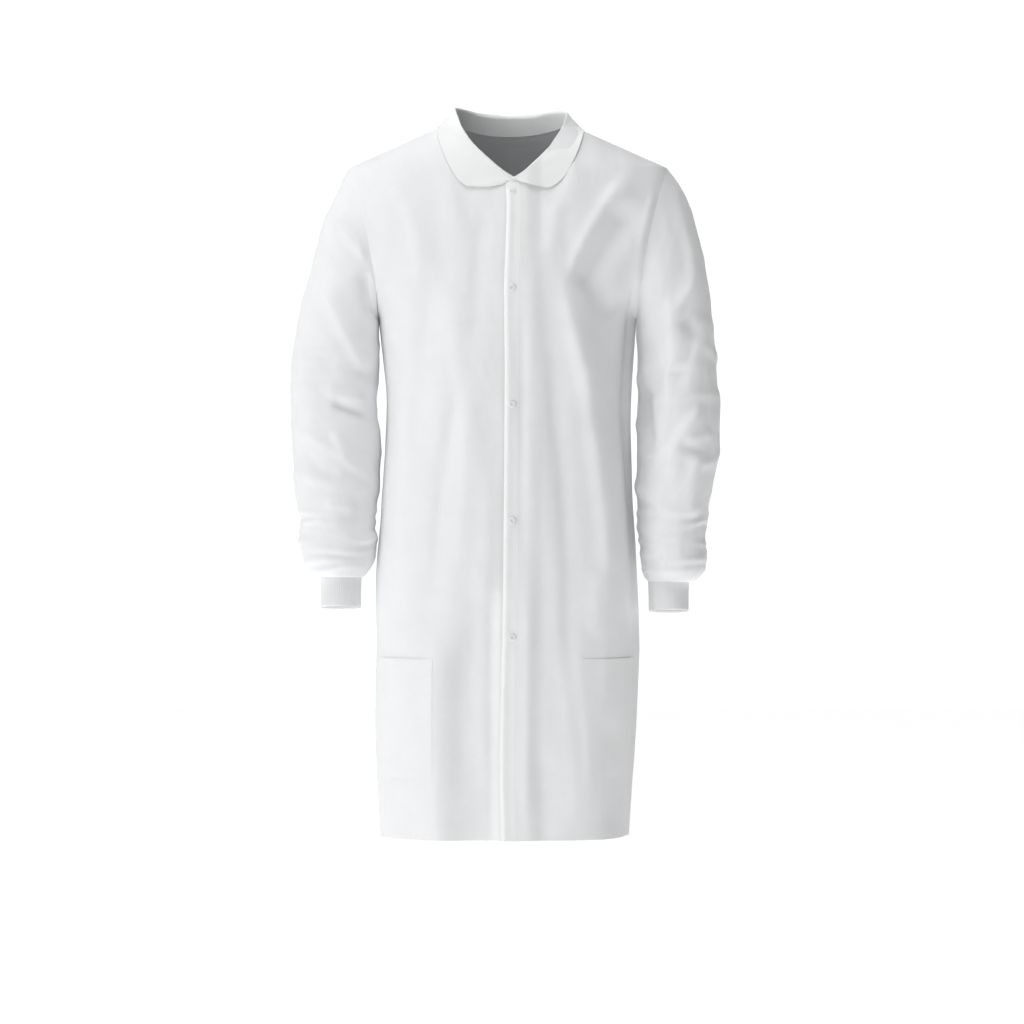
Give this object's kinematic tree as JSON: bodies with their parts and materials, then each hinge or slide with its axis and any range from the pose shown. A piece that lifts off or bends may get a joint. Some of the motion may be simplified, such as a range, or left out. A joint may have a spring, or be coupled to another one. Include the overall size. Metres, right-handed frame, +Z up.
{
  "type": "lab coat",
  "caption": "White single-use laboratory coat with a turned-down collar, snap-fastened front, long sleeves with knitted cuffs and hip pockets.",
  "frame": {"origin": "midway between the two neck points, where the collar seam meets the shoulder seams: the place a hanger's hook stands over", "axes": "+Z up, the front of the coat faces -Y, +X towards the wearer's left"},
  "size_m": [0.608, 0.2545, 1.0403],
  "materials": {
    "nonwoven_cloth": "matt spunbond polypropylene cloth",
    "rib_knit": "soft ribbed polyester knit",
    "seam_tape": "matt folded cloth tape",
    "snap_plastic": "smooth moulded plastic"
  },
  "bodies": {
    "coat_body": {"back_panel": "nonwoven_cloth", "left_front_side": "nonwoven_cloth", "right_front_side": "nonwoven_cloth", "collar_upper_ply": "nonwoven_cloth", "collar_under_ply": "nonwoven_cloth", "neck_tape": "seam_tape", "left_hip_pocket": "nonwoven_cloth", "right_hip_pocket": "nonwoven_cloth"},
    "left_front": {"left_front_flap": "nonwoven_cloth", "snap_1_cap": "snap_plastic", "snap_1_socket": "snap_plastic", "snap_2_cap": "snap_plastic", "snap_2_socket": "snap_plastic", "snap_3_cap": "snap_plastic", "snap_3_socket": "snap_plastic", "snap_4_cap": "snap_plastic", "snap_4_socket": "snap_plastic", "snap_5_cap": "snap_plastic", "snap_5_socket": "snap_plastic"},
    "right_front": {"right_front_flap": "nonwoven_cloth", "snap_1_stud": "snap_plastic", "snap_1_backing": "snap_plastic", "snap_2_stud": "snap_plastic", "snap_2_backing": "snap_plastic", "snap_3_stud": "snap_plastic", "snap_3_backing": "snap_plastic", "snap_4_stud": "snap_plastic", "snap_4_backing": "snap_plastic", "snap_5_stud": "snap_plastic", "snap_5_backing": "snap_plastic"},
    "left_arm": {"left_sleeve": "nonwoven_cloth", "left_cuff": "rib_knit"},
    "right_arm": {"right_sleeve": "nonwoven_cloth", "right_cuff": "rib_knit"}
  },
  "joints": [
    {"name": "left_front_open", "type": "hinge", "parent": "coat_body", "child": "left_front", "pos_m": [0.06, -0.121, -0.095], "axis": [-0.0432, 0.0065, 0.999], "range_deg": [0, 120]},
    {"name": "right_front_open", "type": "hinge", "parent": "coat_body", "child": "right_front", "pos_m": [-0.045, -0.121, -0.095], "axis": [-0.0594, -0.0065, -0.9982], "range_deg": [0, 40]},
    {"name": "left_sleeve_raise", "type": "hinge", "parent": "coat_body", "child": "left_arm", "pos_m": [0.2282, 0, -0.066], "axis": [0, -1, 0], "range_deg": [0, 60]},
    {"name": "right_sleeve_raise", "type": "hinge", "parent": "coat_body", "child": "right_arm", "pos_m": [-0.2282, 0, -0.066], "axis": [0, 1, 0], "range_deg": [0, 60]}
  ],
  "couplings": [
    {"joint": "right_front_open", "follows": "left_front_open", "ratio": 0.33333}
  ]
}
